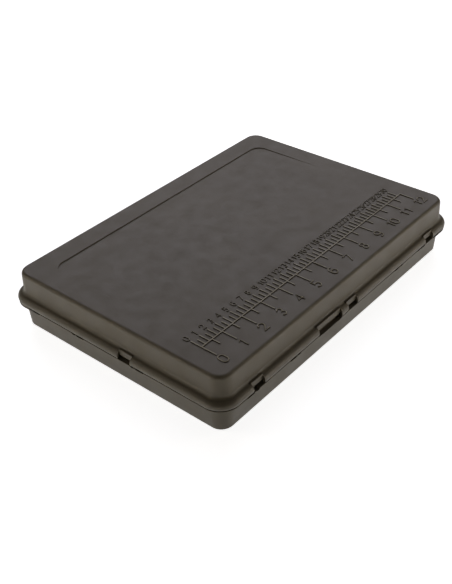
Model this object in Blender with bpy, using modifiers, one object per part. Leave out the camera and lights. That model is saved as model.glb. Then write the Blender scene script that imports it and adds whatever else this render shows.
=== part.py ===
# Flat tackle box: a base and a hinged lid of moulded plastic with a rounded rim all round,
# long partitions inside, and dividers that lift out of ribbed slots.
# Metres, +Z up. X runs along the long side and the hinges are on the +Y side.
# The origin is the middle of the footprint, on the surface that the box stands on.

import bpy
import bmesh
from math import cos, pi, radians, sin
from mathutils import Matrix, Vector

# Driving dimensions of the closed box, the gap between pieces, the depth to which a lug or
# ledge is rooted in a wall, and how far a cut runs past what it cuts
LENGTH = 0.3495
WIDTH = 0.2453
HEIGHT = 0.0585
CORNER = 0.0134
SKIN = 0.0024
CLEAR = 0.0003
SINK = 0.0014
OVERRUN = 0.0040

# Lid: a top fillet, a drafted wall, then a cove and the rounded nose of the rim
TOP_FILLET = 0.0035
LID_DRAFT = 0.0005
LID_WALL_DROP = 0.0190
COVE_RADIUS = 0.0035
NOSE_RADIUS = 0.0052
COVE_TURN = radians(75)
NOSE_END = radians(-30)

# Sunk panel of the lid's top: deepest at the hinge side, running out to nothing
PANEL_MARGIN = 0.0242
PANEL_FADE = 0.0080
PANEL_DEPTH = 0.0010
PANEL_CORNER = 0.0120

# Windows cut through the rim, each under a small flat hood
HOOD_REACH = 0.0040
HOOD_ROOT = 0.0004
HOOD_TOP_DROP = 0.0214
HOOD_HEIGHT = 0.0056
HOOD_SKIN = 0.0014
HOOD_ROUND = 0.0006
HOOD_CHEEK = 0.0010
WINDOW_ROOT = 0.0015
WINDOW_WIDTH = 0.0135
WINDOW_INSET = 0.03875
SIDE_WINDOW_Y = -0.0200
GRIP_WIDTH = 0.0340
GRIP_X = -0.0350

# Slots in the rim's lower lip, each a long one with a short one beside it, and a notch in the
# flange under each, and under the grip window. The slots' places are shares of half the box's
# length along the front, and of half its width along the sides.
SLOT_DROP = 0.0293
LONG_SLOT = 0.0088
SHORT_SLOT = 0.0038
SLOT_SPACE = 0.0020
NOTCH_ROOT = 0.0020
NOTCH_DEPTH = 0.0010
FRONT_SLOT_SHARES = (-0.837, -0.513, 0.434, 0.856)
FRONT_TURNED_SLOT_SHARES = (0.714,)
SIDE_SLOT_SHARES = (-0.306, 0.281, 0.754)

# Base: drafted wall, ringed foot, and the flange that the lid's rim closes on
BASE_TOP_DROP = 0.0244
BASE_TOP_OFFSET = 0.0003
BELT_DROP = 0.0340
BELT_OFFSET = 0.0004
FOOT_OFFSET = -0.0010
FOOT_FILLET = 0.0025
FOOT_RING = 0.0060
FOOT_RECESS = 0.0008
FLANGE_DROP = 0.0304
FLANGE_REACH = 0.0065
FLANGE_EDGE = 0.0018
FLANGE_ROOT = 0.0034
SNAP_LENGTH = 0.0150
SNAP_SHARES = (-0.496, 0.454)
SNAP_DROP = 0.0262
SNAP_HEIGHT = 0.0030
SNAP_NOSE = 0.0008
SNAP_REACH = 0.0038

# Hinges on the +Y side: two knuckles on the base, one on the lid, a steel pin
HINGE_INSET = 0.06475
HINGE_OUT = 0.0037
HINGE_DROP = 0.0313
BARREL_RADIUS = 0.0029
PIN_RADIUS = 0.0010
KNUCKLE_LENGTH = 0.0120
LUG_TURN = radians(135)
HEEL_ANGLE = radians(-36)
OPEN_STOP = radians(110)

# Compartments: three long partitions, ribbed slots, dividers with a finger scoop
DIVIDER_PLATE = 0.0016
PARTITION_PLATE = 0.0018
PLATE_HEIGHT = 0.0240
ROW_PITCH = 0.0520
RIB = 0.0014
RIB_DEPTH = 0.0013
RIB_ROOT = 0.0018
PLATE_GAP = 0.0003
END_GAP = 0.0004
SLOTS_PER_ROW = 6
CORNER_ROUND = 0.0012
SCOOP_HALF_WIDTH = 0.0110
SCOOP_DEPTH = 0.0050
FILLED_SLOTS = {
    "front": (0, 1, 2, 3, 4, 5),
    "second": (0, 2, 3, 5),
    "third": (1, 2, 3, 4),
    "back": (1, 4),
}

# Facets of the round stretches
CORNER_STEPS = 6
ARC_STEPS = 4
ROUND_SIDES = 24

# Places that follow from the sizes above
WELD = CLEAR / 100
HALF_X = LENGTH / 2
HALF_Y = WIDTH / 2
INNER_X = HALF_X + FOOT_OFFSET - SKIN
INNER_Y = HALF_Y + FOOT_OFFSET - SKIN
FLOOR_Z = SKIN + FOOT_RECESS
HINGE_X = HALF_X - HINGE_INSET
WINDOW_X = HALF_X - WINDOW_INSET
PANEL_HALF_LENGTH = HALF_X - PANEL_MARGIN
PANEL_BACK = HALF_Y - PANEL_MARGIN
AXIS_Y = HALF_Y + HINGE_OUT
AXIS_Z = HEIGHT - HINGE_DROP
SLOT_PITCH = 2 * INNER_X / (SLOTS_PER_ROW + 1)
SLOT_X = [SLOT_PITCH * (slot + 1) - INNER_X for slot in range(SLOTS_PER_ROW)]
ROWS = list(FILLED_SLOTS)
PARTITION_Y = [ROW_PITCH * (row + 1) - INNER_Y for row in range(len(ROWS) - 1)]
FRONT = Vector((0, -1, 0))
BACK = Vector((0, 1, 0))
LEFT = Vector((-1, 0, 0))
RIGHT = Vector((1, 0, 0))
UP = Vector((0, 0, 1))

OLIVE = (0.093, 0.080, 0.062, 1)
DARK_OLIVE = (0.070, 0.061, 0.048, 1)
STEEL = (0.60, 0.60, 0.58, 1)


def clear_scene():
    for item in list(bpy.data.objects):
        bpy.data.objects.remove(item, do_unlink=True)


def new_collection(name):
    collection = bpy.data.collections.new(name)
    bpy.context.scene.collection.children.link(collection)
    return collection


def new_material(name, colour, roughness, metallic):
    material = bpy.data.materials.new(name)
    material.use_nodes = True
    shader = material.node_tree.nodes["Principled BSDF"]
    shader.inputs["Base Color"].default_value = colour
    shader.inputs["Roughness"].default_value = roughness
    shader.inputs["Metallic"].default_value = metallic
    material.diffuse_color = colour
    return material


def arc(centre, radius, start, end, steps):
    turns = [start + (end - start) * step / steps for step in range(steps + 1)]
    return [(centre[0] + radius * cos(turn), centre[1] + radius * sin(turn)) for turn in turns]


def rounded_rectangle(low, high, radius, steps):
    # points of the outline, anticlockwise from the middle of the +x side
    corners = [(high[0], high[1]), (low[0], high[1]), (low[0], low[1]), (high[0], low[1])]
    points = []
    for turn, (x, y) in enumerate(corners):
        start = turn * pi / 2
        inward_x = radius if x == low[0] else -radius
        inward_y = radius if y == low[1] else -radius
        points += arc((x + inward_x, y + inward_y), radius, start, start + pi / 2, steps)
    return points


def curve_object(name, points, closed):
    curve = bpy.data.curves.new(name, "CURVE")
    curve.dimensions = "2D"
    spline = curve.splines.new("POLY")
    spline.points.add(len(points) - 1)
    for target, (x, y) in zip(spline.points, points):
        target.co = (x, y, 0, 1)
    spline.use_cyclic_u = closed
    item = bpy.data.objects.new(name, curve)
    CUTTERS.objects.link(item)
    return item


def mesh_from_curve(item):
    # the curve's evaluated shape as a welded mesh; the curve itself is removed
    evaluated = item.evaluated_get(bpy.context.evaluated_depsgraph_get())
    mesh = bpy.data.meshes.new_from_object(evaluated)
    mesh.transform(item.matrix_world)
    name = item.name
    bpy.data.objects.remove(item, do_unlink=True)
    work = bmesh.new()
    work.from_mesh(mesh)
    bmesh.ops.remove_doubles(work, verts=work.verts, dist=WELD)
    bmesh.ops.recalc_face_normals(work, faces=work.faces)
    work.to_mesh(mesh)
    work.free()
    solid = bpy.data.objects.new(name, mesh)
    CUTTERS.objects.link(solid)
    return solid


def extruded(name, points, thickness, frame):
    # an outline drawn in the frame's x and y, thickened evenly along its z
    item = curve_object(name, points, True)
    item.data.fill_mode = "BOTH"
    item.data.extrude = thickness / 2
    item.matrix_world = frame
    bpy.context.view_layer.update()
    return mesh_from_curve(item)


def section_frame(outward, place):
    # x points outward from the wall, y points up and z runs along the wall
    along = outward.cross(UP)
    frame = Matrix((outward, UP, along)).transposed().to_4x4()
    frame.translation = place
    return frame


def slab(name, points, bottom, top):
    frame = Matrix.Translation((0, 0, (bottom + top) / 2))
    return extruded(name, points, top - bottom, frame)


def block(name, low, high):
    low, high = Vector(low), Vector(high)
    mesh = bpy.data.meshes.new(name)
    work = bmesh.new()
    bmesh.ops.create_cube(work, size=1)
    size = Matrix.Diagonal((*(high - low), 1))
    bmesh.ops.transform(work, matrix=Matrix.Translation((low + high) / 2) @ size, verts=work.verts)
    work.to_mesh(mesh)
    work.free()
    item = bpy.data.objects.new(name, mesh)
    CUTTERS.objects.link(item)
    return item


def rod(name, radius, length, place):
    # a cylinder along X with its middle at place
    mesh = bpy.data.meshes.new(name)
    work = bmesh.new()
    bmesh.ops.create_cone(
        work, cap_ends=True, segments=ROUND_SIDES, radius1=radius, radius2=radius, depth=length
    )
    frame = Matrix.Translation(place) @ Matrix.Rotation(pi / 2, 4, "Y")
    bmesh.ops.transform(work, matrix=frame, verts=work.verts)
    work.to_mesh(mesh)
    work.free()
    item = bpy.data.objects.new(name, mesh)
    CUTTERS.objects.link(item)
    return item


def swept(name, profile, closed):
    # a profile of (offset outward, height) pairs, carried round the box's outline
    path = rounded_rectangle((-HALF_X, -HALF_Y), (HALF_X, HALF_Y), CORNER, CORNER_STEPS)
    section = curve_object(name + "_profile", [(-offset, height) for offset, height in profile], closed)
    ring = curve_object(name, path, True)
    ring.data.bevel_mode = "OBJECT"
    ring.data.bevel_object = section
    bpy.context.view_layer.update()
    solid = mesh_from_curve(ring)
    bpy.data.objects.remove(section, do_unlink=True)
    return solid


def shell(name, profile):
    # a swept wall, closed flat over the profile's last point, then thickened inward
    item = swept(name, profile, False)
    work = bmesh.new()
    work.from_mesh(item.data)
    end_height = profile[-1][1]
    rim = [
        edge
        for edge in work.edges
        if edge.is_boundary and all(abs(vert.co.z - end_height) < WELD for vert in edge.verts)
    ]
    bmesh.ops.edgeloop_fill(work, edges=rim)
    bmesh.ops.recalc_face_normals(work, faces=work.faces)
    work.to_mesh(item.data)
    work.free()
    skin = item.modifiers.new("skin", "SOLIDIFY")
    skin.thickness = SKIN
    skin.offset = -1
    skin.use_even_offset = True
    return item


def combine(body, piece, operation):
    change = body.modifiers.new(piece.name, "BOOLEAN")
    change.operation = operation
    change.solver = "EXACT"
    change.object = piece
    piece.hide_render = True
    piece.display_type = "WIRE"


def join(body, piece):
    combine(body, piece, "UNION")


def cut(body, piece):
    combine(body, piece, "DIFFERENCE")


def finish(item, material, origin):
    # an object of the box: its own material, its origin where it turns or slides
    item.data.transform(Matrix.Translation(-Vector(origin)))
    item.location = origin
    item.data.materials.clear()
    item.data.materials.append(material)
    item.data.shade_smooth()
    item.data.set_sharp_from_angle(angle=radians(30))
    CUTTERS.objects.unlink(item)
    BOX.objects.link(item)
    return item


def lid_profile():
    cove = (LID_DRAFT + COVE_RADIUS, HEIGHT - LID_WALL_DROP)
    reach = COVE_RADIUS + NOSE_RADIUS
    nose = (cove[0] - reach * cos(COVE_TURN), cove[1] - reach * sin(COVE_TURN))
    nose_arc = arc(nose, NOSE_RADIUS, NOSE_END, COVE_TURN, 2 * ARC_STEPS)
    cove_arc = arc(cove, COVE_RADIUS, pi + COVE_TURN, pi, ARC_STEPS)
    top_arc = arc((-TOP_FILLET, HEIGHT - TOP_FILLET), TOP_FILLET, 0, pi / 2, ARC_STEPS - 1)
    return nose_arc + cove_arc[1:] + top_arc


def base_profile():
    foot = (FOOT_OFFSET - FOOT_FILLET, FOOT_FILLET)
    foot_arc = arc(foot, FOOT_FILLET, 0, -pi / 2, ARC_STEPS - 1)
    ring_end = foot[0] - FOOT_RING
    return [
        (BASE_TOP_OFFSET, HEIGHT - BASE_TOP_DROP),
        (BELT_OFFSET, HEIGHT - BELT_DROP),
        *foot_arc,
        (ring_end, 0),
        (ring_end - FOOT_RECESS, FOOT_RECESS),
    ]


def hood_and_window(lid, name, outward, place, width):
    # a flat hood standing on the cove, and the window that it overhangs
    top = HEIGHT - HOOD_TOP_DROP
    bottom = top - HOOD_HEIGHT
    plate_back = HOOD_REACH - HOOD_SKIN
    roof = top - HOOD_SKIN
    outside = HOOD_REACH + OVERRUN
    frame = section_frame(outward, place)
    hood_outline = [
        (HOOD_ROOT, top),
        (HOOD_ROOT, roof - HOOD_ROUND),
        (plate_back - HOOD_CHEEK, bottom),
        (HOOD_REACH, bottom),
        *arc((HOOD_REACH - HOOD_ROUND, top - HOOD_ROUND), HOOD_ROUND, 0, pi / 2, ARC_STEPS),
    ]
    behind = HOOD_ROOT - HOOD_ROUND
    hollow = [
        (behind, roof),
        (behind, bottom - OVERRUN),
        (plate_back, bottom - OVERRUN),
        (plate_back, roof),
    ]
    window = [
        (WINDOW_ROOT, top - HOOD_ROUND),
        (WINDOW_ROOT, HEIGHT - BELT_DROP),
        (outside, HEIGHT - BELT_DROP),
        (outside, top - HOOD_ROUND),
    ]
    hood = extruded(name + "_hood", hood_outline, width + 2 * HOOD_CHEEK, frame)
    cut(hood, extruded(name + "_hollow", hollow, width, frame))
    cut(lid, extruded(name + "_window", window, width + HOOD_CHEEK, frame))
    join(lid, hood)


def slot_places():
    # the name, facing, middle and length of each slot: long ones with a short one beside them
    spots = [(FRONT, Vector((share * HALF_X, -HALF_Y, 0)), 1) for share in FRONT_SLOT_SHARES]
    spots += [(FRONT, Vector((share * HALF_X, -HALF_Y, 0)), -1) for share in FRONT_TURNED_SLOT_SHARES]
    spots += [(LEFT, Vector((-HALF_X, share * HALF_Y, 0)), 1) for share in SIDE_SLOT_SHARES]
    spots += [(RIGHT, Vector((HALF_X, share * HALF_Y, 0)), 1) for share in SIDE_SLOT_SHARES]
    places = []
    for count, (outward, place, side) in enumerate(spots):
        along = Vector((abs(outward.y), abs(outward.x), 0))
        beside = along * (side * ((LONG_SLOT + SHORT_SLOT) / 2 + SLOT_SPACE))
        places.append((f"long_{count}", outward, place, LONG_SLOT))
        places.append((f"short_{count}", outward, place + beside, SHORT_SLOT))
    return places


def lip_slot(name, outward, place, length):
    lip = HEIGHT - BELT_DROP
    top = HEIGHT - SLOT_DROP
    outside = HOOD_REACH + OVERRUN
    outline = [(WINDOW_ROOT, lip), (outside, lip), (outside, top), (WINDOW_ROOT, top)]
    return extruded("slot_" + name, outline, length, section_frame(outward, place))


def flange_notch(name, outward, place, length):
    top = HEIGHT - FLANGE_DROP
    floor = top - NOTCH_DEPTH
    above = top + CLEAR
    outside = HOOD_REACH + OVERRUN
    outline = [(NOTCH_ROOT, floor), (outside, floor), (outside, above), (NOTCH_ROOT, above)]
    return extruded("notch_" + name, outline, length, section_frame(outward, place))


def sunk_panel():
    # a tilted slab whose underside is the panel's floor
    slope = Matrix.Rotation(-PANEL_DEPTH / (PANEL_BACK - PANEL_FADE), 4, "X")
    outline = rounded_rectangle(
        (-PANEL_HALF_LENGTH, -PANEL_BACK), (PANEL_HALF_LENGTH, 0), PANEL_CORNER, CORNER_STEPS
    )
    back_edge = Matrix.Translation((0, PANEL_BACK, HEIGHT - PANEL_DEPTH))
    rise = Matrix.Translation((0, 0, OVERRUN / 2))
    return extruded("sunk_panel", outline, OVERRUN, back_edge @ slope @ rise)


def knuckle_places():
    # the middle of each hinge, named from the left as seen from the front
    return {"left": -HINGE_X, "middle": 0, "right": HINGE_X}


def barrel_arc(start, end):
    return arc((HINGE_OUT, AXIS_Z), BARREL_RADIUS, start, end, ROUND_SIDES)


def base_knuckle(name, x):
    # a barrel on a lug whose upper face leaves the barrel at a tangent
    top = (HINGE_OUT + BARREL_RADIUS * cos(LUG_TURN), AXIS_Z + BARREL_RADIUS * sin(LUG_TURN))
    outline = barrel_arc(-pi / 2, LUG_TURN) + [
        (-SINK, top[1] - (top[0] + SINK)),
        (-SINK, AXIS_Z - BARREL_RADIUS),
    ]
    return extruded(name, outline, KNUCKLE_LENGTH, section_frame(BACK, (x, HALF_Y, 0)))


def lid_knuckle(name, x):
    # a barrel with a heel whose tip meets the base's wall when the lid is fully open
    tip_radius = (HINGE_OUT - BELT_OFFSET) / -cos(HEEL_ANGLE - OPEN_STOP)
    tip = (HINGE_OUT + tip_radius * cos(HEEL_ANGLE), AXIS_Z + tip_radius * sin(HEEL_ANGLE))
    outline = barrel_arc(HEEL_ANGLE + pi / 4, HEEL_ANGLE + 2 * pi - pi / 4) + [tip]
    width = KNUCKLE_LENGTH - 2 * CLEAR
    return extruded(name, outline, width, section_frame(BACK, (x, HALF_Y, 0)))


def build_lid(material):
    lid = shell("lid_shell", lid_profile())
    cut(lid, sunk_panel())
    windows = {
        "front_left": (FRONT, (-WINDOW_X, -HALF_Y, 0), WINDOW_WIDTH),
        "front_middle": (FRONT, (0, -HALF_Y, 0), WINDOW_WIDTH),
        "front_right": (FRONT, (WINDOW_X, -HALF_Y, 0), WINDOW_WIDTH),
        "front_grip": (FRONT, (GRIP_X, -HALF_Y, 0), GRIP_WIDTH),
        "left_side": (LEFT, (-HALF_X, SIDE_WINDOW_Y, 0), WINDOW_WIDTH),
        "right_side": (RIGHT, (HALF_X, SIDE_WINDOW_Y, 0), WINDOW_WIDTH),
    }
    for name, (outward, place, width) in windows.items():
        hood_and_window(lid, name, outward, place, width)
    for name, outward, place, length in slot_places():
        cut(lid, lip_slot(name, outward, place, length))
    for name, x in knuckle_places().items():
        for side in (-1, 1):
            middle = (x + side * KNUCKLE_LENGTH, AXIS_Y, AXIS_Z)
            length = KNUCKLE_LENGTH + 2 * CLEAR
            cut(lid, rod(f"lid_relief_{name}_{side}", BARREL_RADIUS + CLEAR, length, middle))
        join(lid, lid_knuckle("lid_knuckle_" + name, x))
        bore = rod("lid_bore_" + name, PIN_RADIUS + CLEAR, KNUCKLE_LENGTH + OVERRUN, (x, AXIS_Y, AXIS_Z))
        cut(lid, bore)
    return finish(lid, material, (0, AXIS_Y, AXIS_Z))


def flange():
    # a ledge round the front and the sides, left off where the hinge side swings
    top = HEIGHT - FLANGE_DROP
    profile = [
        (-SINK, top),
        (-SINK, top - FLANGE_ROOT),
        (BELT_OFFSET, top - FLANGE_ROOT),
        (FLANGE_REACH, top - FLANGE_EDGE),
        (FLANGE_REACH, top),
    ]
    ring = swept("flange", profile, True)
    behind = HALF_Y + FLANGE_REACH + OVERRUN
    beside = HALF_X + FLANGE_REACH + OVERRUN
    low = (-beside, HALF_Y, top - FLANGE_ROOT - OVERRUN)
    cut(ring, block("flange_back", low, (beside, behind, top + OVERRUN)))
    return ring


def snap_ridge(name, x):
    top = HEIGHT - SNAP_DROP
    outline = [
        (-SINK, top),
        (-SINK, top - SNAP_HEIGHT),
        (SNAP_REACH, top - SNAP_HEIGHT + SNAP_NOSE),
        (SNAP_REACH, top - SNAP_HEIGHT + 2 * SNAP_NOSE),
    ]
    return extruded(name, outline, SNAP_LENGTH, section_frame(FRONT, (x, -HALF_Y, 0)))


def slot_ribs(name, middle, along, inward, plate):
    # two upright ribs on a wall, with the plate's slot between them
    reach = (plate + RIB) / 2 + PLATE_GAP
    ribs = []
    for side in (-1, 1):
        near = middle + along * (side * reach) - inward * RIB_ROOT
        far = near + inward * (RIB_ROOT + RIB_DEPTH)
        half = along * (RIB / 2)
        corners = [near - half, near + half, far - half, far + half]
        low = (min(c.x for c in corners), min(c.y for c in corners), FLOOR_Z - SKIN / 2)
        high = (max(c.x for c in corners), max(c.y for c in corners), FLOOR_Z + PLATE_HEIGHT)
        ribs.append(block(f"{name}_{side}", low, high))
    return ribs


def build_base(material):
    base = shell("base_shell", base_profile())
    join(base, flange())
    for name, outward, place, length in slot_places():
        cut(base, flange_notch(name, outward, place, length))
    # a deeper mouth for the fingertip, under the wide window
    cut(base, flange_notch("grip", FRONT, Vector((GRIP_X, -HALF_Y, 0)), GRIP_WIDTH))
    for count, share in enumerate(SNAP_SHARES):
        join(base, snap_ridge(f"snap_ridge_{count}", share * HALF_X))
    for slot, x in enumerate(SLOT_X):
        ribs = slot_ribs(f"front_slot_{slot}", Vector((x, -INNER_Y, 0)), RIGHT, BACK, DIVIDER_PLATE)
        ribs += slot_ribs(f"back_slot_{slot}", Vector((x, INNER_Y, 0)), RIGHT, FRONT, DIVIDER_PLATE)
        for rib in ribs:
            join(base, rib)
    for row, y in enumerate(PARTITION_Y):
        ribs = slot_ribs(f"left_socket_{row}", Vector((-INNER_X, y, 0)), BACK, RIGHT, PARTITION_PLATE)
        ribs += slot_ribs(f"right_socket_{row}", Vector((INNER_X, y, 0)), BACK, LEFT, PARTITION_PLATE)
        for rib in ribs:
            join(base, rib)
    for name, x in knuckle_places().items():
        for side in (-1, 1):
            join(base, base_knuckle(f"base_knuckle_{name}_{side}", x + side * KNUCKLE_LENGTH))
        length = 3 * KNUCKLE_LENGTH + OVERRUN
        cut(base, rod("base_bore_" + name, PIN_RADIUS + CLEAR, length, (x, AXIS_Y, AXIS_Z)))
    return finish(base, material, (0, 0, 0))


def build_pins(material):
    for name, x in knuckle_places().items():
        length = 3 * KNUCKLE_LENGTH - 2 * CLEAR
        pin = rod("hinge_pin_" + name, PIN_RADIUS, length, (x, AXIS_Y, AXIS_Z))
        finish(pin, material, (x, AXIS_Y, AXIS_Z))


def partition_outline():
    # a long plate seen from above, with a pair of ribs at each slot on both faces
    end = INNER_X - END_GAP
    face = PARTITION_PLATE / 2
    reach = (DIVIDER_PLATE + RIB) / 2 + PLATE_GAP
    edge = []
    for x in SLOT_X:
        for middle in (x - reach, x + reach):
            edge += [
                (middle - RIB / 2, face),
                (middle - RIB / 2, face + RIB_DEPTH),
                (middle + RIB / 2, face + RIB_DEPTH),
                (middle + RIB / 2, face),
            ]
    near_side = [(x, -y) for x, y in edge]
    return [(-end, -face)] + near_side + [(end, -face), (end, face)] + edge[::-1] + [(-end, face)]


def build_partitions(material):
    for name, y in zip(("front", "middle", "back"), PARTITION_Y):
        bottom = FLOOR_Z + CLEAR
        plate = slab("partition_" + name, partition_outline(), bottom, bottom + PLATE_HEIGHT)
        plate.data.transform(Matrix.Translation((0, y, 0)))
        finish(plate, material, (0, y, bottom))


def divider_outline(width):
    # a plate standing on y = 0, round at its four corners, with a scoop in its top edge
    half = width / 2
    lower = rounded_rectangle((-half, 0), (half, PLATE_HEIGHT), CORNER_ROUND, ARC_STEPS)
    radius = (SCOOP_HALF_WIDTH**2 + SCOOP_DEPTH**2) / (2 * SCOOP_DEPTH)
    lift = PLATE_HEIGHT - SCOOP_DEPTH + radius
    spread = SCOOP_HALF_WIDTH / radius
    scoop = [
        (radius * sin(spread * share), lift - radius * cos(spread * share))
        for share in (1 - step / ARC_STEPS for step in range(2 * ARC_STEPS + 1))
    ]
    scoop[0] = (SCOOP_HALF_WIDTH, PLATE_HEIGHT)
    scoop[-1] = (-SCOOP_HALF_WIDTH, PLATE_HEIGHT)
    corner = ARC_STEPS + 1
    return lower[:corner] + scoop + lower[corner:]


def row_span(row):
    low = -INNER_Y if row == 0 else PARTITION_Y[row - 1] + PARTITION_PLATE / 2
    high = INNER_Y if row == len(ROWS) - 1 else PARTITION_Y[row] - PARTITION_PLATE / 2
    return low + END_GAP, high - END_GAP


def build_dividers(material):
    for row, name in enumerate(ROWS):
        low, high = row_span(row)
        for count, slot in enumerate(FILLED_SLOTS[name], 1):
            place = Vector((SLOT_X[slot], (low + high) / 2, FLOOR_Z + CLEAR))
            frame = section_frame(BACK, place)
            plate = extruded(f"divider_{name}_{count}", divider_outline(high - low), DIVIDER_PLATE, frame)
            finish(plate, material, place)


clear_scene()
BOX = new_collection("tackle_box")
CUTTERS = new_collection("cutters")
build_base(new_material("base_plastic", OLIVE, 0.55, 0.0))
build_lid(new_material("lid_plastic", OLIVE, 0.55, 0.0))
build_pins(new_material("pin_steel", STEEL, 0.30, 1.0))
build_partitions(new_material("partition_plastic", DARK_OLIVE, 0.50, 0.0))
build_dividers(new_material("divider_plastic", DARK_OLIVE, 0.50, 0.0))
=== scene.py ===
# %% [markdown]
# # A flat tackle box in moulded plastic
# The real box is two injection mouldings that hinge on steel pins: a base tray and a lid of one
# even wall, with a rounded rim that closes on the base's flange. Inside are long partitions
# and small dividers that lift out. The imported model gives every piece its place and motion.
# This lesson remodels the two mouldings finely, adds the ruler of the lid, and finishes
# every piece in a plastic or steel of its own.

# %% Load the frame
from math import asin, cos, pi, radians, sin

import bmesh
import bpy
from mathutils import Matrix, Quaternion, Vector


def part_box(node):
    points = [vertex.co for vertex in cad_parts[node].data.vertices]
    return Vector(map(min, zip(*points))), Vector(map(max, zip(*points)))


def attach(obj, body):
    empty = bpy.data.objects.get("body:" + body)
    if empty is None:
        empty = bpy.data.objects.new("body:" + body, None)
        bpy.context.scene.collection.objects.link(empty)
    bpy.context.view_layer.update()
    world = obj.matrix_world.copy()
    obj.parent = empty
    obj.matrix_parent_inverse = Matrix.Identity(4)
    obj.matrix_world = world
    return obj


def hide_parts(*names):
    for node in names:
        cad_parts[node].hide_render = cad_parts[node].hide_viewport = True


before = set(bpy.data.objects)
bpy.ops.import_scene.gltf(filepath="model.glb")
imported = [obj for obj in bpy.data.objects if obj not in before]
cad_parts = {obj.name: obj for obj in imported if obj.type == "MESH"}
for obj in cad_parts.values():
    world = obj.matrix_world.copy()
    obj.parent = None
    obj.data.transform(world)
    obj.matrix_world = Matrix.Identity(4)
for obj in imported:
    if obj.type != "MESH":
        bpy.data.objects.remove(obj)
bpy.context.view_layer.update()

# %% [markdown]
# ## Sizes
# All sizes are in metres. The origin is the middle of the footprint, X runs along the box and
# the hinges are on the +Y side. These are the sizes that several pieces share, and the ones
# that belong to one piece stand beside it.

# %% Shared sizes
LENGTH = 0.3495
WIDTH = 0.2453
HEIGHT = 0.0585
CORNER = 0.0134
SKIN = 0.0024
CLEAR = 0.0003
SINK = 0.0014
OVERRUN = 0.0040
WELD = 0.00001
SLIVER = 0.000002
FACING = cos(radians(5))
HALF_X = LENGTH / 2
HALF_Y = WIDTH / 2
CORNER_STEPS = 16
CORNER_CENTRE = Vector((CORNER - HALF_X, CORNER - HALF_Y, 0))

# %% [markdown]
# ## A pencil made of one vertex
# Every section of this box is a chain of straight runs and arcs. A chain like that is drawn by
# hand from one vertex: Extrude carries it along a line, and Spin carries it round a centre.
# Spin turns against the right-hand rule, so the helper takes the angle in the usual sense
# and hands it over with its sign changed.

# %% Pencil helpers
def only(piece):
    # selects one object alone and makes it the active one
    bpy.ops.object.select_all(action="DESELECT")
    piece.select_set(True)
    bpy.context.view_layer.objects.active = piece


def edit(piece):
    only(piece)
    bpy.ops.object.mode_set(mode="EDIT")
    bpy.ops.mesh.select_mode(type="VERT")
    bpy.ops.mesh.select_all(action="DESELECT")


def pick(piece, kind, test):
    # selects the verts, edges or faces whose own geometry passes the test
    bpy.ops.mesh.select_mode(type=kind)
    bpy.ops.mesh.select_all(action="DESELECT")
    work = bmesh.from_edit_mesh(piece.data)
    parts = {"VERT": work.verts, "EDGE": work.edges, "FACE": work.faces}[kind]
    for part in parts:
        if test(part):
            part.select_set(True)
    bmesh.update_edit_mesh(piece.data)


def merge_all():
    bpy.ops.mesh.select_all(action="SELECT")
    bpy.ops.mesh.remove_doubles(threshold=WELD)


def face_outwards():
    bpy.ops.mesh.select_all(action="SELECT")
    bpy.ops.mesh.normals_make_consistent(inside=False)


def level(edge, height):
    # true if the whole edge lies at this height
    return all(abs(vert.co.z - height) < WELD for vert in edge.verts)


def touch_down(name, place):
    # a plane merged to its middle leaves the one vertex that draws
    bpy.ops.object.select_all(action="DESELECT")
    bpy.ops.mesh.primitive_plane_add(size=SKIN)
    piece = bpy.context.active_object
    piece.name = name
    bpy.ops.object.mode_set(mode="EDIT")
    bpy.ops.mesh.select_mode(type="VERT")
    bpy.ops.mesh.merge(type="CENTER")
    bpy.ops.transform.translate(value=place)
    return piece


def line_to(piece, place):
    tip = next(vert.co.copy() for vert in bmesh.from_edit_mesh(piece.data).verts if vert.select)
    bpy.ops.mesh.extrude_vertices_move(TRANSFORM_OT_translate={"value": Vector(place) - tip})


def arc_round(centre, turn, steps, axis=(1, 0, 0)):
    bpy.ops.mesh.spin(steps=steps, angle=-turn, center=centre, axis=axis)


def settle(piece):
    # puts the object at the origin, unturned and unscaled, with its place in its mesh
    if piece.mode == "EDIT":
        bpy.ops.object.mode_set(mode="OBJECT")
    only(piece)
    bpy.ops.object.transform_apply(location=True, rotation=True, scale=True)
    return piece


def front(offset, height, x):
    # a place given by its distance out from the front wall
    return Vector((x, -HALF_Y - offset, height))

# %% [markdown]
# ## Modifiers, applied as they are made
# Each modifier changes the mesh and is applied at once, so that the next step finds plain
# geometry. A Boolean's second object is used up by it. Pieces that belong together are joined,
# and a piece that repeats is duplicated with a mesh of its own.

# %% Modifier, join and copy helpers
def apply(piece, modifier):
    only(piece)
    bpy.ops.object.modifier_apply(modifier=modifier.name)


def tidy_mesh(piece):
    # merges the hair-thin slivers that a boolean can leave
    edit(piece)
    bpy.ops.mesh.select_all(action="SELECT")
    bpy.ops.mesh.remove_doubles(threshold=SLIVER)
    bpy.ops.mesh.dissolve_degenerate(threshold=SLIVER)
    bpy.ops.object.mode_set(mode="OBJECT")


def boolean(piece, other, operation):
    modifier = piece.modifiers.new("boolean", "BOOLEAN")
    modifier.operation = operation
    modifier.solver = "EXACT"
    modifier.object = other
    apply(piece, modifier)
    bpy.data.objects.remove(other, do_unlink=True)
    tidy_mesh(piece)


def carve(piece, cutter):
    boolean(piece, cutter, "DIFFERENCE")


def weld_on(piece, other):
    boolean(piece, other, "UNION")


def together(name, pieces):
    # joins pieces into the first one
    bpy.ops.object.select_all(action="DESELECT")
    for piece in pieces:
        piece.select_set(True)
    bpy.context.view_layer.objects.active = pieces[0]
    if len(pieces) > 1:
        bpy.ops.object.join()
    pieces[0].name = name
    return pieces[0]


def copy_to(piece, name, move):
    # a copy with its own mesh, moved and settled
    only(piece)
    bpy.ops.object.duplicate(linked=False)
    bpy.ops.transform.translate(value=move)
    copy = settle(bpy.context.active_object)
    copy.name = name
    return copy

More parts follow.
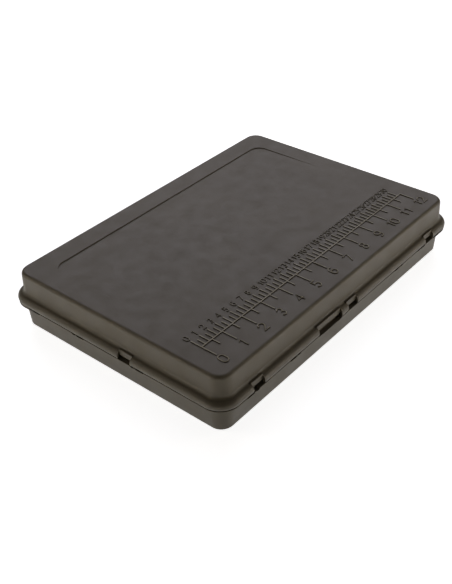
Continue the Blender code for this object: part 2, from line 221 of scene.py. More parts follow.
# %% [markdown]
# ## Round boxes from one section
# A wall that runs round a box with round corners is its section, spun a quarter turn about the
# corner's upright axis and run along both sides to their middles. Mirror makes the other
# three quarters, so the wall keeps its exact thickness and draft round every corner.

# %% Sweep a section round the box
def sweep(piece):
    bpy.ops.mesh.select_all(action="SELECT")
    arc_round(CORNER_CENTRE, -pi / 2, CORNER_STEPS, axis=(0, 0, 1))
    bpy.ops.mesh.extrude_region_move(TRANSFORM_OT_translate={"value": (0, -CORNER_CENTRE.y, 0)})
    pick(piece, "EDGE", lambda edge: all(abs(v.co.x - CORNER_CENTRE.x) < WELD for v in edge.verts))
    bpy.ops.mesh.extrude_region_move(TRANSFORM_OT_translate={"value": (-CORNER_CENTRE.x, 0, 0)})
    bpy.ops.object.mode_set(mode="OBJECT")
    mirror = piece.modifiers.new("mirror", "MIRROR")
    mirror.use_axis = (True, True, False)
    mirror.merge_threshold = WELD
    apply(piece, mirror)
    edit(piece)
    merge_all()
    face_outwards()


def close_over(piece, height, inset):
    # fills the open loop at a height, with a narrow ring inside it that keeps the shading flat
    pick(piece, "EDGE", lambda edge: edge.is_boundary and level(edge, height))
    bpy.ops.mesh.edge_face_add()
    bpy.ops.mesh.select_mode(type="FACE")
    bpy.ops.mesh.inset(thickness=inset)
    face_outwards()


def thicken(piece):
    bpy.ops.object.mode_set(mode="OBJECT")
    wall = piece.modifiers.new("wall", "SOLIDIFY")
    wall.thickness = SKIN
    wall.offset = -1
    wall.use_even_offset = True
    apply(piece, wall)

# %% [markdown]
# ## The lid's wall
# From the middle out, the lid's section is a flat top, a small fillet, a wall with a little
# draft, a cove and then the round nose of the rim. The cove and the nose are two arcs that
# meet at a tangent, which is what gives the rim its soft roll and the dark line above it.

# %% Draw and sweep the lid
TOP_FILLET = 0.0035
LID_DRAFT = 0.0005
LID_WALL_DROP = 0.0190
COVE_RADIUS = 0.0035
NOSE_RADIUS = 0.0052
COVE_TURN = radians(75)
NOSE_END = radians(-30)
LIP_ROUND = 0.0003
SHADE_RING = 0.0008
FILLET_FACETS = 9
COVE_FACETS = 8
NOSE_FACETS = 22
NOSE_OFFSET = LID_DRAFT + COVE_RADIUS - (COVE_RADIUS + NOSE_RADIUS) * cos(COVE_TURN)
NOSE_HEIGHT = HEIGHT - LID_WALL_DROP - (COVE_RADIUS + NOSE_RADIUS) * sin(COVE_TURN)


def nose_place(radius, angle):
    return NOSE_OFFSET + radius * cos(angle), NOSE_HEIGHT + radius * sin(angle)


def make_lid_wall():
    x = CORNER_CENTRE.x
    lid = touch_down("lid_moulding", front(-TOP_FILLET, HEIGHT, x))
    arc_round(front(-TOP_FILLET, HEIGHT - TOP_FILLET, x), pi / 2, FILLET_FACETS)
    line_to(lid, front(LID_DRAFT, HEIGHT - LID_WALL_DROP, x))
    cove = front(LID_DRAFT + COVE_RADIUS, HEIGHT - LID_WALL_DROP, x)
    arc_round(cove, -COVE_TURN, COVE_FACETS)
    arc_round(front(NOSE_OFFSET, NOSE_HEIGHT, x), COVE_TURN - NOSE_END, NOSE_FACETS)
    sweep(lid)
    close_over(lid, HEIGHT, SHADE_RING)
    thicken(lid)
    edit(lid)
    lip = [nose_place(NOSE_RADIUS, NOSE_END), nose_place(NOSE_RADIUS - SKIN, NOSE_END)]
    pick(lid, "EDGE", lambda edge: any(level(edge, height) for offset, height in lip))
    bpy.ops.mesh.bevel(offset=LIP_ROUND, segments=3, affect="EDGES")
    return settle(lid)


lid = make_lid_wall()
print("lid wall:", len(lid.data.polygons), "faces")

# %% [markdown]
# ## Sections that stand on a wall
# Hoods, windows, slots and knuckles are all straight pieces with a constant section, fixed to
# one of the four walls. One helper draws such a section on its wall with the pencil, fills it
# and extrudes it along the wall. A place in a section is a pair: distance out from the wall,
# and height. A step of three values is an arc: its centre, its turn and its facets.

# %% Bars on a wall
UP = Vector((0, 0, 1))
FRONT = Vector((0, -1, 0))
BACK = Vector((0, 1, 0))
LEFT = Vector((-1, 0, 0))
RIGHT = Vector((1, 0, 0))


def on_wall(outward, offset, height, along):
    half = HALF_X if outward.x else HALF_Y
    side = Vector((abs(outward.y), abs(outward.x), 0))
    return outward * (half + offset) + side * along + UP * height


def fill_and_pull(piece, move):
    merge_all()
    bpy.ops.mesh.edge_face_add()
    bpy.ops.mesh.extrude_region_move(TRANSFORM_OT_translate={"value": move})
    face_outwards()


def bar(name, outward, along, width, start, *steps):
    low = along - width / 2
    piece = touch_down(name, on_wall(outward, *start, low))
    for step in steps:
        if len(step) == 3:
            centre, turn, facets = step
            arc_round(on_wall(outward, *centre, low), turn, facets, outward.cross(UP))
        else:
            line_to(piece, on_wall(outward, *step, low))
    line_to(piece, on_wall(outward, *start, low))
    fill_and_pull(piece, on_wall(outward, *start, low + width) - on_wall(outward, *start, low))
    return settle(piece)


def soften_ends(piece, axis, amount, segments):
    # rounds the edges round the end faces of a piece, which look along an axis
    edit(piece)
    pick(piece, "FACE", lambda face: abs(face.normal.dot(axis)) > FACING)
    bpy.ops.mesh.region_to_loop()
    bpy.ops.mesh.bevel(offset=amount, segments=segments, affect="EDGES")
    return settle(piece)

# %% [markdown]
# ## The sunk panel of the lid's top
# The hinge side of the lid's top is a shallow panel, one millimetre deep at its back edge, that
# runs out to nothing near the middle. Its cutter is a round-cornered slab, tilted about that edge.
# The slab's lower edge is rounded, which leaves the small fillet that a mould has there.

# %% Cut the sunk panel
PANEL_MARGIN = 0.0242
PANEL_FADE = 0.0080
PANEL_DEPTH = 0.0010
PANEL_CORNER = 0.0120
PANEL_FILLET = 0.0005
PANEL_FACETS = 12


def round_slab(name, low, high, radius, bottom, top):
    # an upright slab with four round corners, drawn anticlockwise from its low-Y side
    piece = touch_down(name, (low[0] + radius, low[1], bottom))
    corners = [(high[0], low[1]), (high[0], high[1]), (low[0], high[1]), (low[0], low[1])]
    for turn, (x, y) in enumerate(corners):
        inward = Vector((radius if x == low[0] else -radius, radius if y == low[1] else -radius))
        before = Vector((sin(turn * pi / 2), -cos(turn * pi / 2))) * radius
        line_to(piece, (x + inward.x + before.x, y + inward.y + before.y, bottom))
        centre = (x + inward.x, y + inward.y, bottom)
        arc_round(centre, pi / 2, PANEL_FACETS, axis=(0, 0, 1))
    fill_and_pull(piece, UP * (top - bottom))
    return piece


def cut_sunk_panel(lid):
    end = HALF_X - PANEL_MARGIN
    edge = HALF_Y - PANEL_MARGIN
    floor = HEIGHT - PANEL_DEPTH
    low, high = (-end, 0), (end, edge)
    cutter = round_slab("panel_cutter", low, high, PANEL_CORNER, floor, floor + OVERRUN)
    pick(cutter, "EDGE", lambda rim: level(rim, floor))
    bpy.ops.mesh.bevel(offset=PANEL_FILLET, segments=3, affect="EDGES")
    bpy.ops.mesh.select_all(action="SELECT")
    slope = PANEL_DEPTH / (edge - PANEL_FADE)
    bpy.ops.transform.rotate(value=slope, orient_axis="X", center_override=(0, edge, floor))
    carve(lid, settle(cutter))


cut_sunk_panel(lid)
print("lid with its panel:", len(lid.data.polygons), "faces")

# %% [markdown]
# ## Windows and their hoods
# Six windows are cut through the rim. Over each one stands a small flat hood with two cheeks,
# so that a finger or a strap can get under the rim. A hood is a bar that another bar hollows
# from below. The window is cut through the rim first and the hood is welded on after it.

# %% Make the windows
HOOD_REACH = 0.0040
HOOD_ROOT = 0.0004
HOOD_TOP = HEIGHT - 0.0214
HOOD_HEIGHT = 0.0056
HOOD_SKIN = 0.0014
HOOD_ROUND = 0.0006
HOOD_CHEEK = 0.0010
HOOD_SOFT = 0.00025
HOOD_FACETS = 6
WINDOW_ROOT = 0.0015
WINDOW_WIDTH = 0.0135
GRIP_WIDTH = 0.0340
GRIP_X = -0.0350
BELT = HEIGHT - 0.0340
BEYOND = HOOD_REACH + OVERRUN
# each window's wall, its place along the wall and its width
WINDOWS = [
    (FRONT, -0.1360, WINDOW_WIDTH),
    (FRONT, 0.0, WINDOW_WIDTH),
    (FRONT, 0.1360, WINDOW_WIDTH),
    (FRONT, GRIP_X, GRIP_WIDTH),
    (LEFT, -0.0200, WINDOW_WIDTH),
    (RIGHT, -0.0200, WINDOW_WIDTH),
]


def hood_plate(outward, along, width):
    bottom = HOOD_TOP - HOOD_HEIGHT
    brow = (HOOD_REACH - HOOD_ROUND, HOOD_TOP - HOOD_ROUND)
    plate = bar(
        "hood", outward, along, width + 2 * HOOD_CHEEK,
        (HOOD_ROOT, HOOD_TOP),
        (HOOD_ROOT, HOOD_TOP - HOOD_SKIN - HOOD_ROUND),
        (HOOD_REACH - HOOD_SKIN - HOOD_CHEEK, bottom),
        (HOOD_REACH, bottom),
        (HOOD_REACH, HOOD_TOP - HOOD_ROUND),
        (brow, pi / 2, HOOD_FACETS),
    )
    return soften_ends(plate, outward.cross(UP), HOOD_SOFT, 3)


def hood_hollow(outward, along, width):
    behind = HOOD_ROOT - HOOD_ROUND
    ahead = HOOD_REACH - HOOD_SKIN
    low = HOOD_TOP - HOOD_HEIGHT - OVERRUN
    roof = HOOD_TOP - HOOD_SKIN
    corners = [(behind, roof), (behind, low), (ahead, low), (ahead, roof)]
    return bar("hollow", outward, along, width, *corners)


def window_cutter(outward, along, width):
    top = HOOD_TOP - HOOD_ROUND
    corners = [(WINDOW_ROOT, top), (WINDOW_ROOT, BELT), (BEYOND, BELT), (BEYOND, top)]
    return bar("window", outward, along, width + HOOD_CHEEK, *corners)


def make_windows(lid):
    hoods = together("hoods", [hood_plate(*window) for window in WINDOWS])
    carve(hoods, together("hollows", [hood_hollow(*window) for window in WINDOWS]))
    carve(lid, together("windows", [window_cutter(*window) for window in WINDOWS]))
    weld_on(lid, hoods)


make_windows(lid)
print("windows:", len(WINDOWS), "and the lid has", len(lid.data.polygons), "faces")

# %% [markdown]
# ## Slots in the lower lip
# The lip under the rim is notched by pairs of slots, each a long one with a short one beside
# it. They are cut as plain bars, because the real ones are straight cuts of the mould's slides.

# %% Notch the lower lip
SLOT_TOP = HEIGHT - 0.0293
LONG_SLOT = 0.0088
SHORT_SLOT = 0.0038
SLOT_GAP = 0.0020
SLOT_STEP = (LONG_SLOT + SHORT_SLOT) / 2 + SLOT_GAP
# each pair's place as a share of half its wall, and the side that its short slot is on
FRONT_PAIRS = [(-0.837, 1), (-0.513, 1), (0.434, 1), (0.856, 1), (0.714, -1)]
SIDE_PAIRS = [-0.306, 0.281, 0.754]
PAIRS = [(FRONT, share * HALF_X, side) for share, side in FRONT_PAIRS]
PAIRS += [(outward, share * HALF_Y, 1) for outward in (LEFT, RIGHT) for share in SIDE_PAIRS]


def slot_bars(corners):
    # one bar of this section at each slot of the rim
    bars = []
    for outward, along, side in PAIRS:
        bars.append(bar("slot", outward, along, LONG_SLOT, *corners))
        bars.append(bar("slot", outward, along + side * SLOT_STEP, SHORT_SLOT, *corners))
    return together("slots", bars)


lip_corners = [(WINDOW_ROOT, BELT), (BEYOND, BELT), (BEYOND, SLOT_TOP), (WINDOW_ROOT, SLOT_TOP)]
carve(lid, slot_bars(lip_corners))
print("slots cut:", 2 * len(PAIRS))

# %% [markdown]
# ## The lid's knuckles
# Three hinges join the lid to the base on the hidden long side. On each, the lid has the middle
# knuckle: a barrel with a heel whose tip meets the base's wall when the lid is fully open. The
# rim is cut away where the base's own knuckles turn, and a bore goes through for the pin.

# %% Make the lid's knuckles
HINGE_INSET = 0.06475
HINGE_X = HALF_X - HINGE_INSET
HINGE_OUT = 0.0037
AXIS_Y = HALF_Y + HINGE_OUT
AXIS_Z = HEIGHT - 0.0313
BARREL = 0.0029
PIN = 0.0010
KNUCKLE = 0.0120
KNUCKLE_SOFT = 0.0003
LID_KNUCKLE_FACETS = 36
HEEL_ANGLE = radians(-36)
OPEN_STOP = radians(110)
BELT_OFFSET = 0.0004
HINGES = [-HINGE_X, 0.0, HINGE_X]
BASE_KNUCKLES = [x + side * KNUCKLE for x in HINGES for side in (-1, 1)]


def barrel_place(angle, radius=BARREL):
    return HINGE_OUT + radius * cos(angle), AXIS_Z + radius * sin(angle)


def rod(name, x, radius, length, sides=48):
    bpy.ops.object.select_all(action="DESELECT")
    bpy.ops.mesh.primitive_cylinder_add(
        vertices=sides, radius=radius, depth=length,
        location=(x, AXIS_Y, AXIS_Z), rotation=(0, pi / 2, 0),
    )
    piece = bpy.context.active_object
    piece.name = name
    return settle(piece)


def lid_knuckle(x):
    tip = barrel_place(HEEL_ANGLE, (HINGE_OUT - BELT_OFFSET) / -cos(HEEL_ANGLE - OPEN_STOP))
    start = barrel_place(HEEL_ANGLE + pi / 4)
    round_back = ((HINGE_OUT, AXIS_Z), 3 * pi / 2, LID_KNUCKLE_FACETS)
    knuckle = bar("knuckle", BACK, x, KNUCKLE - 2 * CLEAR, start, round_back, tip)
    return soften_ends(knuckle, RIGHT, KNUCKLE_SOFT, 3)


def hinge_lid(lid):
    reliefs = [rod("relief", x, BARREL + CLEAR, KNUCKLE + 2 * CLEAR) for x in BASE_KNUCKLES]
    carve(lid, together("reliefs", reliefs))
    weld_on(lid, together("knuckles", [lid_knuckle(x) for x in HINGES]))
    carve(lid, together("bores", [rod("bore", x, PIN + CLEAR, KNUCKLE + OVERRUN) for x in HINGES]))


hinge_lid(lid)
print("lid with its hinges:", len(lid.data.polygons), "faces")

# %% [markdown]
# ## The ruler's lines
# A ruler is moulded along the front of the lid: one long line with inch ticks towards the front
# and centimetre ticks towards the hinges. Each kind of line is a block with rounded edges, one
# of each is modelled, and an Array copies it at its true pitch, 25.4 or 10 millimetres.

# %% Model the ruler's lines
RULER_LINE = -0.0836
RULER_START = -0.15277
INCH = 0.0254
CENTIMETRE = 0.0100
LAST_INCH = 12
LAST_CENTIMETRE = 30
RULER_END = RULER_START + LAST_INCH * INCH
RIDGE_WIDTH = 0.00115
RIDGE_RISE = 0.00085
TICK_RISE = 0.00080
RIDGE_SOFT = 0.00022
# the first tick's place along the ruler, the pitch, how many, and both ends across
TICKS = [
    (0.0, INCH, LAST_INCH + 1, -0.09935, RULER_LINE),
    (INCH / 2, INCH, LAST_INCH, -0.09225, RULER_LINE),
    (0.0, CENTIMETRE, LAST_CENTIMETRE + 1, RULER_LINE, -0.07185),
    (CENTIMETRE / 2, CENTIMETRE, LAST_CENTIMETRE, RULER_LINE, -0.07475),
]


def block(name, low, high, soft):
    # a block between two corners, with every edge rounded but those of its underside
    low, high = Vector(low), Vector(high)
    bpy.ops.object.select_all(action="DESELECT")
    bpy.ops.mesh.primitive_cube_add(size=1, location=(low + high) / 2, scale=high - low)
    piece = settle(bpy.context.active_object)
    piece.name = name
    edit(piece)
    pick(piece, "EDGE", lambda edge: any(v.co.z > low.z + WELD for v in edge.verts))
    bpy.ops.mesh.bevel(offset=soft, segments=2, affect="EDGES")
    return settle(piece)


def ridge(name, low, high, rise):
    # a block that stands on the lid and is rooted in it
    return block(name, (*low, HEIGHT - RIDGE_RISE), (*high, HEIGHT + rise), RIDGE_SOFT)


def make_ruler_lines():
    half = RIDGE_WIDTH / 2
    ends = ((RULER_START - half, RULER_LINE - half), (RULER_END + half, RULER_LINE + half))
    lines = [ridge("ruler_line", *ends, RIDGE_RISE)]
    for first, pitch, count, low, high in TICKS:
        x = RULER_START + first
        tick = ridge("tick", (x - half, low), (x + half, high), TICK_RISE)
        row = tick.modifiers.new("row", "ARRAY")
        row.use_relative_offset = False
        row.use_constant_offset = True
        row.constant_offset_displace = (pitch, 0, 0)
        row.count = count
        apply(tick, row)
        lines.append(tick)
    return lines


ruler_lines = make_ruler_lines()
print("ruler lines:", 1 + sum(tick[2] for tick in TICKS))

# %% [markdown]
# ## Digits drawn with the pencil
# The ruler's numbers were cut into the mould with a ball-nosed cutter, so their strokes have one
# width and a round back. A text object would give strokes of changing width. So each of the
# ten digits is listed as lines and arcs on a box one unit high, drawn at the size it is needed
# in, turned into a curve with a round bevel, and made a mesh again. A stroke is its start and
# then its steps: two values are a line's end, and three are an arc's centre and degrees.

# %% Draw the ten digits
STROKES = {
    "0": [[(0.32, 0.32), (0.32, 0.68), (0, 0.68, 180), (-0.32, 0.32), (0, 0.32, 180)]],
    "1": [[(-0.17, 0.80), (0.04, 1.0), (0.04, 0.0)]],
    "2": [[(-0.31, 0.69), (0, 0.69, -220), (-0.33, 0.0), (0.33, 0.0)]],
    "3": [[(-0.235, 0.836), (0, 0.75, -250), (0, 0.25, -250)]],
    "4": [[(0.15, 0.0), (0.15, 1.0), (-0.33, 0.30), (0.33, 0.30)]],
    "5": [[(0.28, 1.0), (-0.24, 1.0), (-0.237, 0.509), (0, 0.31, -290)]],
    "6": [[(0.20, 0.927), (0, 0.69, 130), (-0.31, 0.31), (0, 0.31, 360)]],
    "7": [[(-0.33, 1.0), (0.33, 1.0), (-0.10, 0.0)]],
    "8": [[(0, 0.53), (0, 0.765, 360)], [(0, 0.53), (0, 0.265, 360)]],
    "9": [[(-0.20, 0.073), (0, 0.31, 130), (0.31, 0.69), (0, 0.69, 360)]],
}
STROKE_FACETS = 24


def draw_stroke(start, steps, tall, slim):
    stroke = touch_down("stroke", (start[0] * tall, start[1] * tall, 0))
    for step in steps:
        if len(step) == 3:
            turn = radians(step[2])
            facets = max(4, round(abs(turn) / (2 * pi) * STROKE_FACETS))
            arc_round((step[0] * tall, step[1] * tall, 0), turn, facets, axis=(0, 0, 1))
        else:
            line_to(stroke, (step[0] * tall, step[1] * tall, 0))
    merge_all()
    bpy.ops.transform.resize(value=(slim, 1, 1), center_override=(0, 0, 0))
    return settle(stroke)


def draw_digit(digit, tall, slim, half_width):
    strokes = [draw_stroke(first, steps, tall, slim) for first, *steps in STROKES[digit]]
    together("digit_" + digit, strokes)
    bpy.ops.object.convert(target="CURVE")
    piece = bpy.context.active_object
    piece.data.bevel_depth = half_width
    piece.data.bevel_resolution = 2
    piece.data.use_fill_caps = True
    bpy.ops.object.convert(target="MESH")
    piece = bpy.context.active_object
    tidy_mesh(piece)
    return settle(piece)

# %% [markdown]
# ## Set the numbers of the ruler
# Inches count from 0 to 12 below their ticks and centimetres from 0 to 30 above theirs. The
# strokes stand more than half proud of the lid. The numbers are set with copies of the ten
# digits, and all of it is one mesh with the lines.

# %% Set the numbers
INCH_FOOT = -0.11095
INCH_TALL = 0.0095
INCH_HALF_STROKE = 0.00062
INCH_STEP = 0.0072
CM_FOOT = -0.06985
CM_TALL = 0.0062
CM_HALF_STROKE = 0.00045
CM_SLIM = 0.86
CM_STEP = 0.0046
STROKE_LIFT = 0.00020


def set_number(digits, number, x, y, step):
    copies = []
    for place, digit in enumerate(str(number)):
        shift = (place - (len(str(number)) - 1) / 2) * step
        move = (x + shift, y, HEIGHT + STROKE_LIFT)
        copies.append(copy_to(digits[digit], "digit_" + digit, move))
    return copies


def make_numbers():
    numbers = []
    for tall, slim, half, pitch, last, foot, step in [
        (INCH_TALL, 1.0, INCH_HALF_STROKE, INCH, LAST_INCH, INCH_FOOT, INCH_STEP),
        (CM_TALL, CM_SLIM, CM_HALF_STROKE, CENTIMETRE, LAST_CENTIMETRE, CM_FOOT, CM_STEP),
    ]:
        digits = {digit: draw_digit(digit, tall, slim, half) for digit in STROKES}
        for number in range(last + 1):
            numbers += set_number(digits, number, RULER_START + number * pitch, foot, step)
        for digit in digits.values():
            bpy.data.objects.remove(digit, do_unlink=True)
    return numbers


ruler_numbers = make_numbers()
ruler = together("ruler", ruler_lines + ruler_numbers)
print("digits set:", len(ruler_numbers), "and the ruler has", len(ruler.data.polygons), "faces")

# %% [markdown]
# ## The base's wall and foot
# The base is swept like the lid, the other way up. Its wall drafts inwards to a small fillet,
# then come the flat ring that it stands on and a floor that is raised a little inside it.

# %% Draw and sweep the base
BASE_TOP = HEIGHT - 0.0244
BASE_TOP_OFFSET = 0.0003
FOOT_OFFSET = -0.0010
FOOT_FILLET = 0.0025
FOOT_RING = 0.0060
FOOT_RECESS = 0.0008
BRIM_ROUND = 0.0005
FOOT_FACETS = 6


def make_base_wall():
    x = CORNER_CENTRE.x
    base = touch_down("base_moulding", front(BASE_TOP_OFFSET, BASE_TOP, x))
    line_to(base, front(BELT_OFFSET, BELT, x))
    line_to(base, front(FOOT_OFFSET, FOOT_FILLET, x))
    arc_round(front(FOOT_OFFSET - FOOT_FILLET, FOOT_FILLET, x), pi / 2, FOOT_FACETS)
    ring_end = FOOT_OFFSET - FOOT_FILLET - FOOT_RING
    line_to(base, front(ring_end, 0, x))
    line_to(base, front(ring_end - FOOT_RECESS, FOOT_RECESS, x))
    sweep(base)
    close_over(base, FOOT_RECESS, SHADE_RING)
    thicken(base)
    edit(base)
    pick(base, "EDGE", lambda edge: level(edge, BASE_TOP)
         and len({round(face.normal.z) for face in edge.link_faces}) == 2)
    bpy.ops.mesh.bevel(offset=BRIM_ROUND, segments=3, affect="EDGES")
    return settle(base)


base = make_base_wall()
print("base wall:", len(base.data.polygons), "faces")

# %% [markdown]
# ## The flange and the snap ridges
# The rim of the lid closes on a flange that runs round the front and both sides of the base. On
# the hinge side it is left off, because the lid's rim swings there. Two small ridges on the
# front wall stand under the rim's lip and hold the lid shut. The flange's top has a shallow notch
# under each slot of the lip, so that the slot goes on through the seam, and one under the wide
# window, where a fingertip lifts the lid. They are bars, cut as the slots are.

# %% Add the flange, its notches and the ridges
FLANGE_TOP = HEIGHT - 0.0304
FLANGE_REACH = 0.0065
FLANGE_EDGE = 0.0018
FLANGE_ROOT = 0.0034
FLANGE_ROUND = 0.00025
NOTCH_ROOT = 0.0020
NOTCH_DEPTH = 0.0010
SNAP_LENGTH = 0.0150
SNAP_TOP = HEIGHT - 0.0262
SNAP_HEIGHT = 0.0030
SNAP_NOSE = 0.0008
SNAP_REACH = 0.0038
SNAP_SHARES = [-0.496, 0.454]


def make_flange():
    x = CORNER_CENTRE.x
    start = front(-SINK, FLANGE_TOP, x)
    flange = touch_down("flange", start)
    line_to(flange, front(-SINK, FLANGE_TOP - FLANGE_ROOT, x))
    line_to(flange, front(BELT_OFFSET, FLANGE_TOP - FLANGE_ROOT, x))
    line_to(flange, front(FLANGE_REACH, FLANGE_TOP - FLANGE_EDGE, x))
    line_to(flange, front(FLANGE_REACH, FLANGE_TOP, x))
    line_to(flange, start)
    merge_all()
    sweep(flange)
    bpy.ops.mesh.bisect(
        plane_co=(0, HALF_Y, 0), plane_no=(0, 1, 0), use_fill=True, clear_outer=True,
    )
    pick(flange, "EDGE", lambda edge: edge.calc_face_angle(0) > radians(20) and is_outermost(edge))
    bpy.ops.mesh.bevel(offset=FLANGE_ROUND, segments=3, affect="EDGES")
    return settle(flange)


def is_outermost(edge):
    # true along the flange's two outer edges, round the corners too
    for vert in edge.verts:
        past_x = abs(vert.co.x) - (HALF_X - CORNER)
        past_y = abs(vert.co.y) - (HALF_Y - CORNER)
        reach = Vector((max(past_x, 0), max(past_y, 0))).length - CORNER
        if abs(reach - FLANGE_REACH) > WELD * 5:
            return False
    return abs(edge.verts[0].co.z - edge.verts[1].co.z) < WELD


def notch_corners():
    # the section of a notch in the flange's top
    floor = FLANGE_TOP - NOTCH_DEPTH
    above = FLANGE_TOP + CLEAR
    return [(NOTCH_ROOT, floor), (BEYOND, floor), (BEYOND, above), (NOTCH_ROOT, above)]


def snap_ridge(share):
    low = SNAP_TOP - SNAP_HEIGHT
    nose = [(SNAP_REACH, low + SNAP_NOSE), (SNAP_REACH, low + 2 * SNAP_NOSE)]
    corners = [(-SINK, SNAP_TOP), (-SINK, low), *nose]
    return bar("snap_ridge", FRONT, share * HALF_X, SNAP_LENGTH, *corners)


weld_on(base, make_flange())
carve(base, slot_bars(notch_corners()))
carve(base, bar("grip_notch", FRONT, GRIP_X, GRIP_WIDTH, *notch_corners()))
weld_on(base, together("snap_ridges", [snap_ridge(share) for share in SNAP_SHARES]))
print("base with its flange:", len(base.data.polygons), "faces")

# %% [markdown]
# ## Slots for the plates
# Pairs of upright ribs on the walls hold the edges of the dividers and the ends of the three
# partitions. One rib is a block with rounded edges. The ribs sit at the CAD's slots, which are
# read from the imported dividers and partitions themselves, so each plate fits its own slot.

# %% Add the ribs
RIB = 0.0014
RIB_DEPTH = 0.0013
RIB_ROOT = 0.0018
RIB_SOFT = 0.0002
PLATE_GAP = 0.0003
PLATE_HEIGHT = 0.0240
DIVIDER_PLATE = 0.0016
PARTITION_PLATE = 0.0018
FLOOR = SKIN + FOOT_RECESS
INNER_X = HALF_X + FOOT_OFFSET - SKIN
INNER_Y = HALF_Y + FOOT_OFFSET - SKIN
PARTITIONS = ["partition_front", "partition_middle", "partition_back"]
ROWS = {"front": 6, "second": 4, "third": 4, "back": 2}


def middle_of(node):
    low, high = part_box(node)
    return (Vector(low) + Vector(high)) / 2


slot_places = [middle_of(f"divider_front_{count}").x for count in range(1, 7)]
partition_places = [middle_of(node).y for node in PARTITIONS]


def rib_pair(middle, along, inward, plate):
    ribs = []
    for side in (-1, 1):
        near = middle + along * (side * ((plate + RIB) / 2 + PLATE_GAP)) - inward * RIB_ROOT
        far = near + inward * (RIB_ROOT + RIB_DEPTH)
        half = along * (RIB / 2)
        corners = [near - half, near + half, far - half, far + half]
        low = (min(c.x for c in corners), min(c.y for c in corners), FLOOR - SKIN / 2)
        high = (max(c.x for c in corners), max(c.y for c in corners), FLOOR + PLATE_HEIGHT)
        ribs.append(block("rib", low, high, RIB_SOFT))
    return ribs


def add_ribs(base):
    ribs = []
    for x in slot_places:
        ribs += rib_pair(Vector((x, -INNER_Y, 0)), RIGHT, BACK, DIVIDER_PLATE)
        ribs += rib_pair(Vector((x, INNER_Y, 0)), RIGHT, FRONT, DIVIDER_PLATE)
    for y in partition_places:
        ribs += rib_pair(Vector((-INNER_X, y, 0)), BACK, RIGHT, PARTITION_PLATE)
        ribs += rib_pair(Vector((INNER_X, y, 0)), BACK, LEFT, PARTITION_PLATE)
    weld_on(base, together("ribs", ribs))
    return len(ribs)


print("ribs:", add_ribs(base), "slots at", [round(1000 * x, 1) for x in slot_places])

# %% [markdown]
# ## The base's knuckles
# Each hinge has two knuckles on the base, one on either side of the lid's. A knuckle is a
# barrel on a lug, whose upper face leaves the barrel at a tangent and runs into the wall.

# %% Make the base's knuckles
LUG_TURN = radians(135)
BASE_KNUCKLE_FACETS = 30


def base_knuckle(x):
    start = barrel_place(-pi / 2)
    top = barrel_place(LUG_TURN)
    round_top = ((HINGE_OUT, AXIS_Z), pi / 2 + LUG_TURN, BASE_KNUCKLE_FACETS)
    root = (-SINK, top[1] - (top[0] + SINK))
    knuckle = bar("knuckle", BACK, x, KNUCKLE, start, round_top, root, (-SINK, AXIS_Z - BARREL))
    return soften_ends(knuckle, RIGHT, KNUCKLE_SOFT, 3)


def hinge_base(base):
    weld_on(base, together("knuckles", [base_knuckle(x) for x in BASE_KNUCKLES]))
    bores = [rod("bore", x, PIN + CLEAR, 3 * KNUCKLE + OVERRUN) for x in HINGES]
    carve(base, together("bores", bores))


hinge_base(base)
print("base with its hinges:", len(base.data.polygons), "faces")

# %% [markdown]
# ## The three partitions
# A partition is a long plate with pairs of ribs on both faces, and is the same all the way up,
# as it was drawn from its mould. So its outline is drawn from above and extruded, its upper
# edges are rounded, and the finished plate is copied twice.

# %% Model the partitions
END_GAP = 0.0004
PLATE_SOFT = 0.0002


def partition_edge():
    face = PARTITION_PLATE / 2
    reach = (DIVIDER_PLATE + RIB) / 2 + PLATE_GAP
    edge = []
    for x in slot_places:
        for middle in (x - reach, x + reach):
            low, high = middle - RIB / 2, middle + RIB / 2
            edge += [(low, face), (low, face + RIB_DEPTH), (high, face + RIB_DEPTH), (high, face)]
    return edge


def make_partition(y):
    end = INNER_X - END_GAP
    face = PARTITION_PLATE / 2
    bottom = FLOOR + CLEAR
    edge = partition_edge()
    outline = [(px, -py) for px, py in edge] + [(end, -face), (end, face)]
    outline += edge[::-1] + [(-end, face), (-end, -face)]
    plate = touch_down("partition", (-end, y - face, bottom))
    for px, py in outline:
        line_to(plate, (px, y + py, bottom))
    fill_and_pull(plate, UP * PLATE_HEIGHT)
    pick(plate, "EDGE", lambda rim: level(rim, bottom + PLATE_HEIGHT))
    bpy.ops.mesh.bevel(offset=PLATE_SOFT, segments=2, affect="EDGES")
    return settle(plate)


partition = make_partition(partition_places[0])
partition.name = PARTITIONS[0] + "_plate"
partitions = {PARTITIONS[0]: partition}
for node, y in zip(PARTITIONS[1:], partition_places[1:]):
    partitions[node] = copy_to(partition, node + "_plate", (0, y - partition_places[0], 0))
print("partitions:", len(partitions), "with", len(partition.data.polygons), "faces each")

# %% [markdown]
# ## The dividers
# A divider is a small plate with round corners and a scoop for the finger in its upper edge. The
# rows are not all of one width, so the first divider of each row is drawn on the corners of
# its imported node, and the others of the row are copies of it.

# %% Model the dividers
CORNER_ROUND = 0.0012
SCOOP_HALF_WIDTH = 0.0110
SCOOP_DEPTH = 0.0050
SCOOP_FACETS = 16
DIVIDER_SOFT = 0.0003


